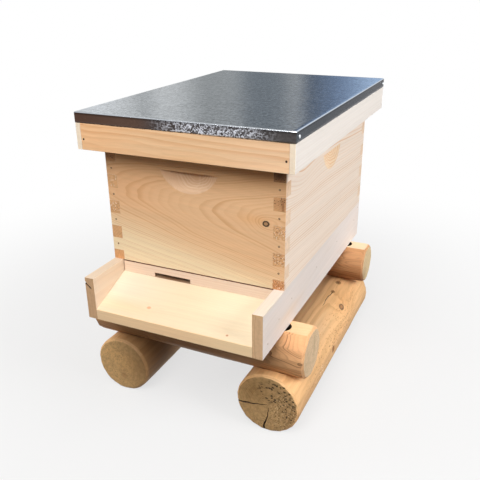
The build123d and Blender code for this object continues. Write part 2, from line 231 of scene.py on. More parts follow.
@dataclass
class Wood:
    """The wood of a piece. All places in it are measured from an origin that the piece gives.

    The pith is a line along the grain, given by its two other coordinates. Tones are pairs, of early
    and late wood. Marks are lists: bends of (centre, reach, push), fresh cuts or painted shade of (low,
    high, tones) that may go on with an eye and its rings, tints for stain or for painted light and shade
    of (centre, reach, tint) and sometimes a strength, specks of (centre, reach, size, tone, share) and
    sometimes a stretch, and knots of (centre, radii, heart, rim, strength).
    """

    grain: str
    pith: tuple
    ring: float
    tones: tuple
    end_tones: tuple
    seed: float
    sap: tuple = ()
    tilt: tuple = (0, 0)
    figure: float = 0.6
    wander: float = 4
    line: float = 0.2
    grain_depth: float = 1
    end_noise: float = 0.5
    end_range: tuple = (0.5, 0.85)
    bump: float = 0.00035
    bends: tuple = ()
    fresh: tuple = ()
    stains_and_painted_light: tuple = ()
    specks: tuple = ()
    knots: tuple = ()

    def position(self, g):
        # How far along the grain the point is, and its way from the pith across the grain.
        order = GRAIN_ORDER[self.grain]
        parts = g.split(g.place)
        along, u, v = (parts[i] for i in order)
        u = g.minus(g.times_plus(along, -self.tilt[0], u), g.origin[order[1]] + self.pith[0])
        v = g.minus(g.times_plus(along, -self.tilt[1], v), g.origin[order[2]] + self.pith[1])
        for centre, reach, push in self.bends:
            amount = swell(g, centre, reach)
            u = g.times_plus(amount, push[0], u)
            v = g.times_plus(amount, push[1], v)
        return g.combine(along, u, v)

    def cut_tones(self, g):
        # The tones of early, late and sap wood, which differ inside fresh cuts and where shade is painted.
        early, late = self.tones
        sap = self.sap[2] if self.sap else early
        for low, high, (new_early, new_late), *_ in self.fresh:
            cut = within(g, low, high)
            early = g.mix(cut, early, new_early)
            sap = g.mix(cut, sap, new_early)
            late = g.mix(cut, late, new_late)
        return early, late, sap

    def spread(self, g, along, across, detail=2, roughness=0.5):
        # Noise drawn out along the grain; its size is given along and across it.
        stretched = g.vector("MULTIPLY", g.in_grain, (1 / along, 1 / across, 1 / across))
        offset = Vector((17.3, 41.9, 29.7)) * self.seed
        return g.noise(g.vector("ADD", stretched, offset), detail, roughness)

    def swing(self, g, *sizes):
        return g.minus(self.spread(g, *sizes)["Fac"], 0.5)

    def growth(self, g):
        # How far the point is from the pith, and how much late wood is there; each ring has its own share.
        drift = g.vector("SUBTRACT", self.spread(g, 230, 60)["Color"], (0.5, 0.5, 0.5))
        drift = g.scaled(drift, 2 * self.wander)
        _, u, v = g.split(g.vector("ADD", g.in_grain, drift))
        radius = g.vector("LENGTH", g.combine(0, u, v))
        ring = g.times_plus(self.swing(g, 600, 22, 1), 0.5, g.math("DIVIDE", radius, self.ring))
        part = g.math("FRACT", ring)
        count = g.plus(g.math("FLOOR", ring), g.times(self.seed, 7.7))
        lot = g.add("ShaderNodeTexWhiteNoise", {"W": count}, noise_dimensions="1D").outputs["Value"]
        late = g.times(g.step(part, self.line, 0.9), g.step(part, 1, 0.93))
        return radius, g.times(late, g.times_plus(g.times(lot, lot), 0.85, 0.15))

    def flat_tone(self, g, radius, late, fibre):
        early, late_tone, sap = self.cut_tones(g)
        if self.sap:
            early = g.mix(g.step(radius, *self.sap[:2]), early, sap)
        shade = g.plus(g.times(fibre, 0.15), g.times(self.swing(g, 260, 6.5), 0.15))
        shade = g.times_plus(self.swing(g, 420, 70), 0.12, shade)
        tone = g.mix(g.times(late, self.figure), early, late_tone)
        return g.scaled(tone, g.times_plus(shade, self.grain_depth, 1))

    def end_tone(self, g, late, pores):
        patch = g.step(self.spread(g, 9, 7)["Fac"], 0.35, 0.65, -0.2, 0.12)
        spots = g.times_plus(pores, -0.34, patch)
        tone = g.mix(g.times(late, 0.9), *self.end_tones)
        return g.scaled(tone, g.times_plus(spots, self.end_noise, 1))

    def bare(self, g):
        # The colour before any marks, and the height of the grain.
        radius, late = self.growth(g)
        fibre = self.swing(g, 38, 0.8, 3, 0.6)
        pores = g.step(self.spread(g, 1.3, 1)["Fac"], 0.56, 0.72)
        end = g.step(g.math("ABSOLUTE", g.facing[GRAIN_ORDER[self.grain][0]]), *self.end_range)
        tone = g.mix(end, self.flat_tone(g, radius, late, fibre), self.end_tone(g, late, pores))
        height = g.times_plus(fibre, 0.7, g.times(late, 0.3))
        return tone, g.plus(height, g.times(end, g.times(pores, -0.8)))

    def marked(self, g, shown):
        for low, high, (_, ring_tone), *eye in self.fresh:
            if eye:
                shown = ringed(g, shown, within(g, low, high), ring_tone, *eye)
        for centre, reach, tint, *strength in self.stains_and_painted_light:
            amount = g.times(swell(g, centre, reach), strength[0] if strength else STAIN_AND_PAINTED_LIGHT_STRENGTH)
            shown = g.mix(amount, shown, g.mix(1, shown, (*tint, 1), "MULTIPLY"))
        for speck in self.specks:
            shown = speckled(g, shown, *speck)
        for knot in self.knots:
            shown = knotted(g, shown, *knot)
        return shown

    def material(self, name, origin):
        material, g, shader = new_material(name, origin)
        g.in_grain = self.position(g)
        shown, height = self.bare(g)
        g.join(self.marked(g, shown), shader.inputs["Base Color"])
        g.bump(shader, 0.5, self.bump, height)
        shader.inputs["Roughness"].default_value = 0.6
        shader.inputs["Specular IOR Level"].default_value = 0.3
        return material


# Pieces

BOARD_EASE = 0.6
THIN_EASE = 0.5
FINE_EASE = 0.4
SHORTEST_EASED = 1.5
SAME_POINT = 0.001


def as_object(name, mesh):
    piece = bpy.data.objects.new(name, mesh)
    bpy.context.scene.collection.objects.link(piece)
    return piece


def stand_for(piece, node):
    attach(piece, body_of_node[node])
    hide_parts(node)
    return piece


def smooth_by_angle(mesh, degrees):
    for face in mesh.polygons:
        face.use_smooth = True
    mesh.set_sharp_from_angle(angle=math.radians(degrees))


def finished(made, name):
    mesh = bpy.data.meshes.new(name)
    made.to_mesh(mesh)
    made.free()
    return mesh


def eased_copy(node, width, name, chosen=None):
    """A copy of a CAD piece, or of its chosen solids, whose sharp edges are rounded a little."""
    made = bmesh.new()
    made.from_mesh(nodes[node].data)
    if chosen:
        strays = [face for face in made.faces if not chosen(face.calc_center_median() / MM - face.normal)]
        bmesh.ops.delete(made, geom=strays, context="FACES")
    bmesh.ops.remove_doubles(made, verts=made.verts, dist=SAME_POINT * MM)
    bmesh.ops.dissolve_limit(made, angle_limit=math.radians(0.5), verts=made.verts, edges=made.edges)
    sharp = [
        edge
        for edge in made.edges
        if len(edge.link_faces) == 2
        and edge.calc_length() > SHORTEST_EASED * MM
        and edge.calc_face_angle() > math.radians(30)
    ]
    bmesh.ops.bevel(
        made, geom=sharp, offset=width * MM, segments=2, profile=0.5, affect="EDGES", clamp_overlap=True,
    )
    return as_object(name, finished(made, name))


def board(node, wood, ease=BOARD_EASE, cutters=(), part="", chosen=None, origin=None):
    """A board in place of a CAD piece; its wood is measured from its low corner, or from an origin."""
    name = node + part + "_wood"
    piece = eased_copy(node, ease, name, chosen)
    if origin is None:
        origin = place_of(node)[0]
    piece.data.materials.append(wood.material(name, origin))
    carve(piece, cutters)
    smooth_by_angle(piece.data, 35)
    normals = piece.modifiers.new("normals", "WEIGHTED_NORMAL")
    normals.keep_sharp = True
    return stand_for(piece, node)


def mesh_of(name, points, faces):
    """A closed mesh from points in millimetres."""
    made = bmesh.new()
    made_points = [made.verts.new(Vector(p) * MM) for p in points]
    for face in faces:
        made.faces.new([made_points[i] for i in face])
    bmesh.ops.recalc_face_normals(made, faces=made.faces)
    return finished(made, name)


def tube(name, rows):
    """A closed mesh through rows of points, each row a loop, with a face over each end."""
    count = len(rows[0])
    points = [point for row in rows for point in row]
    last = len(points) - count
    faces = [range(count), range(last, len(points))]
    for start in range(0, last, count):
        for i in range(start, start + count):
            j = start + (i + 1) % count
            faces.append((i, j, j + count, i + count))
    return mesh_of(name, points, faces)


def prism(outline, depth):
    """A solid between an outline and the same outline moved by the depth."""
    moved = [Vector(p) + Vector(depth) for p in outline]
    return as_object("cutter", tube("cutter", [outline, moved]))


def painted_split_shade():
    # Painted shade: a dark colour for the inside of a crack or a bored hole.
    material, g, shader = new_material("painted_split_shade")
    grit = g.cloud(0.7, 3)
    tone = g.mix(g.step(grit, 0.3, 0.7), colour(34, 24, 16), colour(74, 52, 34))
    g.join(tone, shader.inputs["Base Color"])
    g.bump(shader, 0.5, 0.0006, grit)
    shader.inputs["Roughness"].default_value = 0.9
    return material


painted_split_shade_material = painted_split_shade()


def rod(centre, radius, depth, turns, material=None):
    """A round cutter from a centre along a depth."""
    aside = Vector(depth).orthogonal().normalized()
    other = Vector(depth).cross(aside).normalized()
    step = 2 * math.pi / turns
    spokes = [aside * math.cos(i * step) + other * math.sin(i * step) for i in range(turns)]
    cutter = prism([Vector(centre) + spoke * radius for spoke in spokes], depth)
    if material:
        cutter.data.materials.append(material)
    return cutter


def crack(path, first_width, last_width, depth, seed):
    """A jagged slit along a path of points, cut to a depth; its width changes along the path."""
    path = [Vector(p) for p in path]
    parts = 9
    spine = []
    for start, end in zip(path[:-1], path[1:]):
        spine += [start.lerp(end, i / parts) for i in range(parts)]
    spine.append(path[-1])
    left, right = [], []
    for i, point in enumerate(spine):
        ahead = spine[min(i + 1, len(spine) - 1)] - spine[max(i - 1, 0)]
        aside = ahead.cross(Vector(depth)).normalized()
        share = i / (len(spine) - 1)
        width = first_width + (last_width - first_width) * share
        sway = noise.noise((seed, i * 0.45, 0.3)) * 1.6 * (0 if i in (0, len(spine) - 1) else 1)
        ragged = width * (0.75 + 0.5 * noise.noise((seed + 7, i * 1.3, 0.8)))
        left.append(point + aside * (sway + ragged / 2))
        right.append(point + aside * (sway - ragged / 2))
    cutter = prism(left + right[::-1], depth)
    # The slit's walls are coloured with painted shade.
    cutter.data.materials.append(painted_split_shade_material)
    return cutter


def carve(piece, cutters):
    """Cuts solids out of a piece's mesh; what a cut lays bare takes the cutter's material, if it has one."""
    if not cutters:
        return
    for cutter in cutters:
        cut = piece.modifiers.new("cut", "BOOLEAN")
        cut.operation = "DIFFERENCE"
        cut.solver = "EXACT"
        cut.material_mode = "TRANSFER"
        cut.object = cutter
    bpy.context.view_layer.update()
    seen = piece.evaluated_get(bpy.context.evaluated_depsgraph_get())
    piece.data = bpy.data.meshes.new_from_object(seen)
    piece.modifiers.clear()
    for cutter in cutters:
        bpy.data.objects.remove(cutter)


LOG_END_DEPTH = 12
LOG_ROW_STEP = 3.2


@dataclass
class Log:
    """A peeled log shaved with a drawknife: long narrow flats, and eased ends cut in a few strokes.

    The centre is the two other coordinates of its axis, and the span is its two ends. The top is the
    level of a planed flat. Dents are of (centre, size, depth).
    """

    name: str
    along: str
    centre: tuple
    span: tuple
    radius: float
    seed: float
    ease: float
    taper: float = 0
    flats: int = 21
    strokes: int = 11
    top: float = None
    dents: tuple = ()
    turns: int = 144

    def thinned(self, place):
        start, end = self.span
        return self.taper * (place - start) / (end - start)

    def point(self, place, angle, reach):
        aside, level = reach * math.cos(angle), reach * math.sin(angle) - self.thinned(place)
        if self.along == "x":
            return Vector((place, self.centre[0] + aside, self.centre[1] + level))
        return Vector((self.centre[0] + aside, place, self.centre[1] + level))

    def shaved(self, angle, count, sway):
        # How far a flat-sided outline comes out, as a share of its corners.
        part = (angle / (2 * math.pi) * count + sway) % 1 - 0.5
        return math.cos(math.pi / count) / math.cos(part * 2 * math.pi / count)

    def girth(self, angle, place):
        c, s = math.cos(angle), math.sin(angle)
        radius = self.radius - self.thinned(place)
        sway = 0.5 * noise.noise((c * 1.3 + self.seed, s * 1.3, place / 110))
        reach = radius * self.shaved(angle, self.flats, sway)
        reach -= 0.7 * abs(noise.noise((c + 3 * self.seed, s, place / 170)))
        reach += 0.25 * noise.noise((c * 5, s * 5 + self.seed, place / 40))
        here = self.point(place, angle, reach)
        for centre, size, depth in self.dents:
            reach -= depth * math.exp(-(((here - Vector(centre)).length / size) ** 2))
        if self.top is not None and s > 0:
            planed = (self.top - self.centre[1]) / s
            if planed < radius + 1e-6:
                return planed
            reach = min(reach, planed)
        return min(reach, radius)

    def angles(self):
        turn = 2 * math.pi / self.turns
        angles = [i * turn for i in range(self.turns)]
        if self.top is not None:
            edge = math.asin((self.top - self.centre[1]) / self.radius)
            for corner in (edge, math.pi - edge):
                nearest = min(range(self.turns), key=lambda i: abs(angles[i] - corner))
                angles[nearest] = corner
        return angles

    def end_rows(self, angles, face, way):
        # Rows of points from the middle of an end face out to its rim and over the eased edge.
        edge = []
        for angle in angles:
            full = self.girth(angle, face + way * LOG_END_DEPTH)
            sway = 0.2 * noise.noise((self.seed, math.cos(angle) * 2, face))
            cut = self.shaved(angle, self.strokes, sway + self.seed)
            least = full - self.ease * (1 + 0.45 * noise.noise((face, math.cos(angle), math.sin(angle))))
            edge.append((full, least * (0.65 + 0.35 * cut)))
        rows = [[(face, least * share) for full, least in edge] for share in (0.5, 0.7, 0.82, 0.9, 0.96)]
        rows.append([(face + way * 0.25, least * 0.988) for full, least in edge])
        for share in (0, 0.5, 0.93, 1):
            rows.append([
                (face + way * (0.9 + share * 0.85 * (full - least)), least + share * (full - least - 0.3))
                for full, least in edge
            ])
        return rows

    def rows(self, angles):
        start, end = self.span
        length = end - start - 2 * LOG_END_DEPTH
        count = int(length // LOG_ROW_STEP)
        body = []
        for i in range(count + 1):
            place = start + LOG_END_DEPTH + length * i / count
            body.append([(place, self.girth(angle, place)) for angle in angles])
        return self.end_rows(angles, start, 1) + body + self.end_rows(angles, end, -1)[::-1]

    def mesh(self):
        angles = self.angles()
        rows = []
        for row in self.rows(angles):
            rows.append([self.point(place, a, reach) for a, (place, reach) in zip(angles, row)])
            for point in rows[-1]:
                # The ground cuts the underside flat.
                point.z = max(point.z, 0)
        return tube(self.name, rows)

    def piece(self, node, wood, origin, cutters):
        made = as_object(self.name, self.mesh())
        made.data.materials.append(wood.material(self.name + "_wood", origin))
        carve(made, cutters)
        smooth_by_angle(made.data, 32)
        return stand_for(made, node)


# Colours of the wood, as they show in plain light


def tones(early, late):
    return colour(*early), colour(*late)


def dark_ringed(tone):
    return tone, tuple(0.5 * c for c in tone[:3]) + (1,)


BARE = tones((236, 193, 149), (208, 150, 100))
BARE_SAP = colour(247, 226, 188)
SCOOPED = tones((235, 197, 161), (248, 218, 186))
SIDE_SCOOPED = tones((238, 212, 180), (224, 162, 106))
CREAM = tones((235, 213, 182), (228, 198, 160))
CREAM_EDGE = tones((248, 213, 169), (236, 192, 142))
CREAM_END = dark_ringed(CREAM[1])
WARM = tones((245, 204, 160), (221, 163, 112))
PALE = tones((240, 222, 205), (214, 162, 108))
WHITE = tones((238, 230, 222), (231, 216, 202))
RAIL = tones((227, 216, 209), (220, 196, 178))
RAIL_END = tones((222, 184, 144), (198, 156, 116))
LEFT_RAIL = tones((225, 205, 182), (217, 187, 157))
LEFT_RAIL_END = tones((210, 171, 132), (190, 150, 112))
PINK = tones((242, 217, 194), (230, 196, 170))
PINK_END = dark_ringed(colour(206, 166, 136))
# Painted shade, for the gap over the entrance reducer and the inside of its notch.
PAINTED_SHADE = tones((118, 68, 46), (100, 56, 38))
END = tones((222, 172, 124), (198, 146, 100))
DARK_END = dark_ringed(END[0])
PALE_END = tones((238, 210, 182), (222, 184, 150))
LIP = tones((254, 236, 212), (252, 231, 205))
KNOT_HEART = colour(170, 130, 92)
KNOT_RIM = colour(40, 26, 17)
BLUSH = colour(232, 160, 120)
BLUSH_RIM = colour(226, 166, 128)
SPECK = colour(74, 48, 30)
BROWN_SPECK = colour(150, 100, 62)
RUST_SPECK = colour(138, 70, 34)
PALE_SPECK = colour(244, 228, 206)

# Brood box

BOX_WIDTH, BOARD, BOX_HEIGHT = size_of("box_front_board")
BOX_LENGTH = size_of("box_right_board").y
LEDGE = BOX_HEIGHT - 55.5
SCOOP_HALF = 62
SCOOP_TALL = 44
SCOOP_SHIFT = 4.5
SCOOP_DEPTH = 6.8
SCOOP_INSET = 7.2
SCOOP_RINGS = ((SIDE_SCOOPED, (None, 7, 5), 9, 0.5), (SCOOPED, (5.2, None, 4.4), 9.5, 0.75))
FINGER_STEP = 49.6
LOWEST_FINGER = 6.6
TIP = (BOARD / 2, 0)
SIDE_GRAIN = dict(figure=0.75, wander=3.5, line=0.5, end_noise=0.4)


def scoop(middle, thin_axis, eye_aside, eye_up, first=1):
    """A scooped handhold behind a board's face, as a fresh cut with rings round an eye."""
    half = Vector((SCOOP_HALF, SCOOP_HALF, SCOOP_TALL / 2))
    half[thin_axis] = SCOOP_DEPTH
    middle = Vector((*middle, LEDGE - SCOOP_TALL / 2 + 0.5))
    eye = middle.copy()
    eye[1 - thin_axis] += eye_aside
    eye.z = LEDGE + eye_up
    cut_tones, reach, last, strength = SCOOP_RINGS[thin_axis]
    return middle - half, middle + half, cut_tones, eye, reach, first, last, strength


def finger(number, above=0):
    # The end of a side board's finger, counted from the bottom.
    return (*TIP, LOWEST_FINGER + FINGER_STEP * number + above)


def make_front_board():
    middle = BOX_WIDTH / 2
    scoop_x = middle - SCOOP_SHIFT
    knot = (BOX_WIDTH - 34.6, 0, 118.4)
    board("box_front_board", Wood(
        "x", (260, 133), 1, BARE, PALE_END, 1.6, sap=(263, 286, BARE_SAP), tilt=(-0.045, -0.09),
        figure=0.56, wander=2.2, line=0.3, end_noise=0.4,
        bends=[(knot, (24, None, 15), (4, 0)), ((middle + 60, 0, 190), (90, None, 30), (-3, 0))],
        fresh=[scoop((scoop_x, SCOOP_INSET), 1, 12, 1, 3.4)],
        stains_and_painted_light=[
            # Painted shade: the top of the board and its top right corner darkened under the cover's
            # overhang.
            ((middle, 0, BOX_HEIGHT - 24), (None, None, 42), (0.76, 0.64, 0.5)),
            ((BOX_WIDTH, 0, BOX_HEIGHT - 30), (120, None, 26), (0.84, 0.76, 0.68)),
            ((30, 0, 150), (80, None, 60), (0.98, 0.89, 0.83)),
            # Painted shade: the top of the handhold darkened under its ledge.
            ((scoop_x + 10, 7, LEDGE - 6), (50, 12, 16), (0.84, 0.77, 0.72), 0.85),
            ((knot[0] - 20, 0, knot[2] + 4), (34, None, 10), (1, 0.86, 0.7), 0.6),
        ],
        knots=[(knot, (6.4, None, 5.4), KNOT_HEART, KNOT_RIM, 0.95)],
    ), FINE_EASE)


def make_rear_board():
    knot = (112, BOARD, 72)
    board("box_rear_board", Wood(
        "x", (BOARD - 280, 92), 1.1, BARE, PALE_END, 2, sap=(284, 304, BARE_SAP), tilt=(0.04, 0.07),
        figure=0.5, wander=2, end_noise=0.4,
        bends=[(knot, (26, None, 16), (-4, 0))],
        fresh=[scoop((BOX_WIDTH / 2 + SCOOP_SHIFT, BOARD - SCOOP_INSET), 1, -12.5, 2, 3)],
        knots=[(knot, (7, None, 5.6), KNOT_HEART, KNOT_RIM, 0.9)],
    ), FINE_EASE)


def make_right_board():
    board("box_right_board", Wood(
        "y", (BOARD - 120, 280), 4.2, PALE, END, 3, tilt=(0, -0.06), **SIDE_GRAIN,
        bends=[((BOARD, 75, 175), (None, 70, 34), (0, 16))],
        fresh=[scoop((BOARD - SCOOP_INSET, BOX_LENGTH / 2), 0, 14, -4)],
        stains_and_painted_light=[
            # Painted shade: the top finger's end darkened under the cover.
            (finger(4, 2), (24, 6, 20), (0.16, 0.1, 0.06), 1),
            (finger(3), (18, 6, 14), (0.8, 0.74, 0.7)),
            (Vector(finger(3, -2)) + Vector((6, 0, 0)), (2.4, 6, 16), (0.5, 0.4, 0.34)),
            (finger(0), (18, 6, 12), (0.8, 0.62, 0.5)),
        ],
        specks=[
            (finger(4), (14, 6, 12), 2.4, SPECK, 0.35),
            (finger(3, 7), (14, 6, 8), 2.6, SPECK, 0.6),
            (finger(2), (12, 6, 12), 2.2, PALE_SPECK, 0.35, (0.7, 1, 1.6)),
            (finger(2), (12, 6, 12), 1.9, RUST_SPECK, 0.42, (0.7, 1, 1.6)),
            (finger(1), (12, 6, 12), 2.2, PALE_SPECK, 0.35, (1.2, 1, 1)),
            (finger(1), (12, 6, 12), 1.9, RUST_SPECK, 0.42, (1.2, 1, 1)),
            (finger(0, 2), (13, 6, 10), 2.2, RUST_SPECK, 0.5, (0.6, 1, 1.6)),
            (finger(0, 2), (13, 6, 10), 2.4, PALE_SPECK, 0.45, (0.6, 1, 1.6)),
        ],
    ), FINE_EASE)


def make_left_board():
    board("box_left_board", Wood(
        "y", (110, -30), 4.4, PALE, END, 4, tilt=(0, 0.05), **SIDE_GRAIN,
        fresh=[scoop((SCOOP_INSET, BOX_LENGTH / 2), 0, -10, -2)],
        stains_and_painted_light=[
            # Painted shade: the top finger's end darkened under the cover.
            (finger(4), (18, 6, 14), (0.72, 0.64, 0.58)),
            (finger(0), (18, 6, 12), (1.06, 0.94, 0.84)),
        ],
        specks=[
            (finger(4), (12, 6, 10), 2.2, SPECK, 0.3),
            (finger(3), (12, 6, 12), 2.6, PALE_SPECK, 0.3, (0.5, 1, 2.4)),
            (finger(2), (12, 6, 10), 2.4, PALE_SPECK, 0.35),
            (finger(2), (12, 6, 10), 1.8, BROWN_SPECK, 0.3),
        ],
    ), FINE_EASE)


make_front_board()
make_rear_board()
make_right_board()
make_left_board()

# Bottom board

NOTCH_SHIFT = -50.45
NOTCH_HALF = 38.5


def make_rails():
    thick, long, tall = size_of("bottom_rail_right")
    board("bottom_rail_right", Wood(
        "y", (thick + 420, 60), 2.2, RAIL, RAIL_END, 5, tilt=(0, 0.04), figure=0.45, wander=3,
        end_noise=0.25,
        stains_and_painted_light=[
            ((thick, 130, 27), (None, 60, 10), (1, 0.93, 0.84)),
            ((0, 20, tall), (None, 70, 3), (1.02, 1, 0.88)),
            # Painted light: the outer face made paler towards the rear.
            ((thick, long, 40), (4, 260, None), (1.2, 1.18, 1.16)),
        ],
    ))
    low, high = place_of("bottom_rail_left")
    slit = [(low.x - 1, low.y - 1, high.z - 8), (low.x + 12.5, low.y - 1, high.z - 21)]
    board("bottom_rail_left", Wood(
        "y", (-420, 20), 2.2, LEFT_RAIL, LEFT_RAIL_END, 6, figure=0.35, wander=3, end_noise=0.25,
        knots=[
            ((thick, 51.8, 29), (None, 2.8, 2), BLUSH, KNOT_HEART, 0.55),
            ((thick, 71, 43.5), (None, 2.2, 1.8), BLUSH, KNOT_HEART, 0.55),
        ],
    ), cutters=[crack(slit, 4.4, 3, (0, 15, 0), 3)])


def make_landing():
    wide, deep, tall = size_of("landing_board")
    middle = wide / 2
    knots = [(middle - 59.3, 27.7, tall), (middle + 105.4, 10.3, tall)]
    board("landing_board", Wood(
        "x", (-11.25, -257.55), 2.6, CREAM, CREAM_END, 7, figure=0.2, wander=3,
        bends=[(knot, (26, 11, None), (0, 4)) for knot in knots],
        stains_and_painted_light=[
            ((middle - 112, 19, 0), (60, 14, None), (1, 0.95, 0.84), 0.8),
            ((0, deep - 30, 0), (90, 50, None), (1, 1.08, 1.24)),
            ((middle + 10, 50, 0), (70, 50, None), (1, 0.93, 0.91)),
            # Paler wood at the right end, and painted light where the right rail's shadow falls.
            ((wide, 50, 0), (110, 60, None), (1.08, 1.2, 1.26)),
        ],
        fresh=[((-1, -1, -1), (wide + 1, 1.4, 40), CREAM_EDGE)],
        knots=[
            (knots[0], (4.2, 2.8, None), BLUSH, BLUSH_RIM, 0.75),
            (knots[1], (2.4, 2, None), KNOT_HEART, BLUSH_RIM, 0.8),
        ],
    ))


def make_entrance_and_floor():
    wide, deep, tall = size_of("entrance_reducer")
    notch = wide / 2 + NOTCH_SHIFT
    board("entrance_reducer", Wood(
        "x", (74.75, 73.95), 3, PINK, PINK_END, 8, figure=0.45, wander=3,
        fresh=[
            # Painted shade: a dark strip along the top front edge for the gap under the box, and a dark
            # inside to the notch.
            ((-1, -1, tall - 0.45), (wide + 1, 3.6, tall + 1), PAINTED_SHADE),
            ((notch - NOTCH_HALF, 0.6, -1), (notch + NOTCH_HALF, deep + 1, 9), PAINTED_SHADE),
        ],
    ), FINE_EASE)
    wide, _, tall = size_of("floor_board_front")
    behind_notch = (wide / 2 + NOTCH_SHIFT, 0, tall)
    board("floor_board_front", Wood(
        "x", (124.75, -177.05), 3.2, CREAM, DARK_END, 9, figure=0.4,
        # Painted shade: the floor darkened behind the entrance notch.
        stains_and_painted_light=[(behind_notch, (70, 46, None), (0.34, 0.22, 0.15), 0.95)],
    ))
    board("floor_board_rear", Wood("x", (138.35, 182.95), 3.2, CREAM, DARK_END, 10, figure=0.4))
    board("rear_cleat", Wood("x", (58.95, 73.95), 3.4, PINK, DARK_END, 11, figure=0.5))


make_rails()
make_landing()
make_entrance_and_floor()

# Outer cover, inner cover and frames

RIM_WIDTH = 19
BAR_TONES = (BARE, WARM, PALE)


def make_cover():
    wide, deep, tall = size_of("cover_front_board")
    board("cover_front_board", Wood(
        "x", (120, -30), 5.2, WARM, END, 12, tilt=(0.03, 0.02), figure=0.52, wander=8, grain_depth=1.6,
        stains_and_painted_light=[
            ((wide / 2 + 20, 0, 4), (60, None, 7), (0.95, 0.88, 0.8), 0.8),
            ((0, 0, 20), (110, None, None), (1.05, 0.95, 0.87)),
            ((wide, 0, 20), (110, None, None), (1.05, 1.07, 1.15)),
        ],
    ))
    board("cover_rear_board", Wood(
        "x", (deep - 130, tall + 6), 5, WARM, END, 13, tilt=(-0.03, 0.02), figure=0.4, wander=8,
        grain_depth=1.3,
    ))
    for side, pith, seed in (("right", (-35.48, -70.35), 14), ("left", (49.58, 139.65), 15)):
        wood = Wood("y", pith, 4.6, WHITE, LIP, seed, figure=0.35, end_noise=0.15)
        board(f"cover_{side}_board", wood)
    board("cover_panel", Wood("y", (239.58, -127.55), 4, WARM, DARK_END, 16, figure=0.5))


def make_inner_cover():
    low, high = place_of("inner_cover_rims")

    def in_side_rim(place):
        return place.x < low.x + RIM_WIDTH or place.x > high.x - RIM_WIDTH

    def in_end_rim(place):
        return not in_side_rim(place)

    panel = Wood("y", (69.18, -400.55), 3, BARE, DARK_END, 17, figure=0.5, wander=6)
    board("inner_cover_panel", panel, FINE_EASE)
    sides = Wood("y", (202.18, -54.55), 4, WARM, DARK_END, 18, figure=0.5)
    board("inner_cover_rims", sides, THIN_EASE, part="_side", chosen=in_side_rim)
    ends = Wood("x", (254.75, -54.55), 4, WARM, DARK_END, 19, figure=0.5)
    board("inner_cover_rims", ends, THIN_EASE, part="_end", chosen=in_end_rim)


def make_frame(number):
    low, high = place_of(f"frame_{number}_top_bar")
    origin = ((low.x + high.x) / 2, low.y, low.z)
    side = 14 if number % 2 else -12
    bar_tones = BAR_TONES[number % 3]
    looks = dict(figure=0.55, wander=3)
    long_grain = Wood("y", (side, 6 * number - 29.15), 3.6, bar_tones, END, 20 + number, **looks)
    upright_grain = Wood("z", (-side, 513.65), 3.2, bar_tones, END, 30 + number, **looks)
    for bar, wood in (("top_bar", long_grain), ("bottom_bar", long_grain), ("end_bars", upright_grain)):
        board(f"frame_{number}_{bar}", wood, THIN_EASE, origin=origin)


make_cover()
make_inner_cover()
for number in range(1, 9):
    make_frame(number)

# Foundation: wax pressed with the bases of the cells, the same sheet in every frame

CELL_WIDTH = 5.4
RIM_HEIGHT = 1.4
PIT_HEIGHT = 0.7


def foundation_points(half):
    # The points of one face, in rows set off by half a step; every third one is the bottom of a cell.
    side = CELL_WIDTH / math.sqrt(3)
    row_count = int(2 * half.z // (CELL_WIDTH / 2))
    column_count = int(2 * half.y // side)
    points = []
    for r in range(row_count + 1):
        spots = [c + 0.5 * (r % 2) for c in range(column_count + 1 - r % 2)]
        if r % 2:
            spots = [0, *spots, column_count]
        for spot in spots:
            pit = int(round(spot - 0.5 * r)) % 3 == 0
            rim = r in (0, row_count) or spot in (0, column_count)
            height = RIM_HEIGHT if rim else PIT_HEIGHT if pit else half.x
            along, up = 2 * spot / column_count - 1, 2 * r / row_count - 1
            points.append(Vector((height, along * half.y, up * half.z)))
    return points


def foundation_mesh():
    points = foundation_points(size_of("frame_1_foundation") / 2)
    faces = delaunay_2d_cdt([p.yz for p in points], [], [], 0, SAME_POINT)[2]
    edges = {(a, b) for face in faces for a, b in zip(face, face[1:] + face[:1])}
    behind = len(points)
    faces += [[i + behind for i in face] for face in faces]
    faces += [(a, b, b + behind, a + behind) for a, b in edges if (b, a) not in edges]
    points += [Vector((-p.x, p.y, p.z)) for p in points]
    return mesh_of("foundation", points, faces)


def wax():
    material, g, shader = new_material("beeswax")
    cloud = g.cloud(0.02, 3)
    tone = g.mix(g.step(cloud, 0.3, 0.7), colour(228, 178, 84), colour(240, 200, 116))
    tone = g.scaled(tone, g.step(g.cloud(0.35), 0.2, 0.8, 0.9, 1.06))
    g.join(tone, shader.inputs["Base Color"])
    g.join(g.step(cloud, 0.2, 0.8, 0.38, 0.55), shader.inputs["Roughness"])
    return material


def make_foundations():
    sheet = foundation_mesh()
    sheet.materials.append(wax())
    for number in range(1, 9):
        node = f"frame_{number}_foundation"
        low, high = place_of(node)
        piece = as_object(node + "_wax", sheet)
        piece.location = (low + high) / 2 * MM
        stand_for(piece, node)


make_foundations()

# Log stand

LOG = tones((233, 186, 132), (190, 134, 82))
RIGHT_END = tones((192, 155, 106), (150, 114, 72))
LEFT_END = tones((222, 180, 124), (194, 152, 101))
LOG_KNOT = colour(150, 102, 62)
LOG_KNOT_RIM = colour(66, 42, 26)
PLANED = {
    "front": tones((243, 204, 158), (228, 178, 126)),
    "rear": tones((248, 222, 184), (240, 204, 158)),
}
LOG_GRAIN = dict(end_range=(0.8, 0.93), bump=0.0007)
LONG_LOG_GRAIN = dict(grain_depth=2, **LOG_GRAIN)

